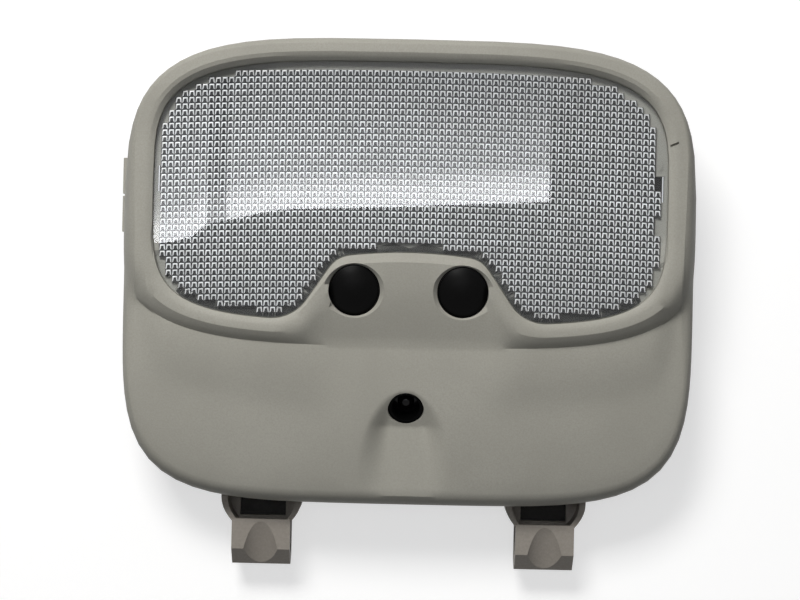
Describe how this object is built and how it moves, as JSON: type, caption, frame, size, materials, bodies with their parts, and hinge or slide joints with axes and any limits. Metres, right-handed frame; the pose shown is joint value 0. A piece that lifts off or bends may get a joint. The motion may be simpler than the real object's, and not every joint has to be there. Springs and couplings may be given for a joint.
{
  "type": "car dome light",
  "caption": "Roof lamp for a car interior: moulded bezel with prism lens, push buttons, tilted receiver eye in a scoop and J-shaped retaining clips.",
  "frame": {"origin": "flat back face of the rear housing, behind the middle of the bezel", "axes": "+Z out of the lamp's face, +Y to its upper edge, +X to the right seen from the front; it lies on its flat back"},
  "size_m": [0.192, 0.177, 0.0433],
  "materials": {
    "bezel_plastic": "fine moulded grain",
    "clip_plastic": "moulded",
    "lens_clear": "gloss outside, prisms inside",
    "lamp_white": "gloss",
    "housing_plastic": "moulded",
    "board": "lacquered",
    "button_plastic": "satin",
    "spring_steel": "drawn wire",
    "switch_plastic": "moulded",
    "bulb_glass": "clear",
    "contact_brass": "stamped",
    "eye_window": "gloss",
    "screw_steel": "zinc plated"
  },
  "bodies": {
    "root": {"bezel": "bezel_plastic", "lens": "lens_clear", "reflector": "lamp_white", "rear_housing": "housing_plastic", "circuit_board": "board", "left_button_spring": "spring_steel", "right_button_spring": "spring_steel", "left_switch": "switch_plastic", "right_switch": "switch_plastic", "left_bulb": "bulb_glass", "right_bulb": "bulb_glass", "left_bulb_holder": "switch_plastic", "right_bulb_holder": "switch_plastic", "left_feed_strip": "contact_brass", "right_feed_strip": "contact_brass", "ground_strip": "contact_brass", "connector_shell": "switch_plastic", "connector_pins": "contact_brass", "receiver_tube": "button_plastic", "receiver_eye": "eye_window", "left_clip": "clip_plastic", "right_clip": "clip_plastic", "housing_screws": "screw_steel", "board_screws": "screw_steel"},
    "left_push": {"left_button": "button_plastic", "left_switch_plunger": "lamp_white"},
    "right_push": {"right_button": "button_plastic", "right_switch_plunger": "lamp_white"}
  },
  "joints": [
    {"name": "left_button_press", "type": "slide", "parent": "root", "child": "left_push", "axis": [0, 0, -1], "range_m": [0, 0.0025], "stiffness_N_per_m": 600, "deforming": ["left_button_spring"]},
    {"name": "right_button_press", "type": "slide", "parent": "root", "child": "right_push", "axis": [0, 0, -1], "range_m": [0, 0.0025], "stiffness_N_per_m": 600, "deforming": ["right_button_spring"]}
  ]
}
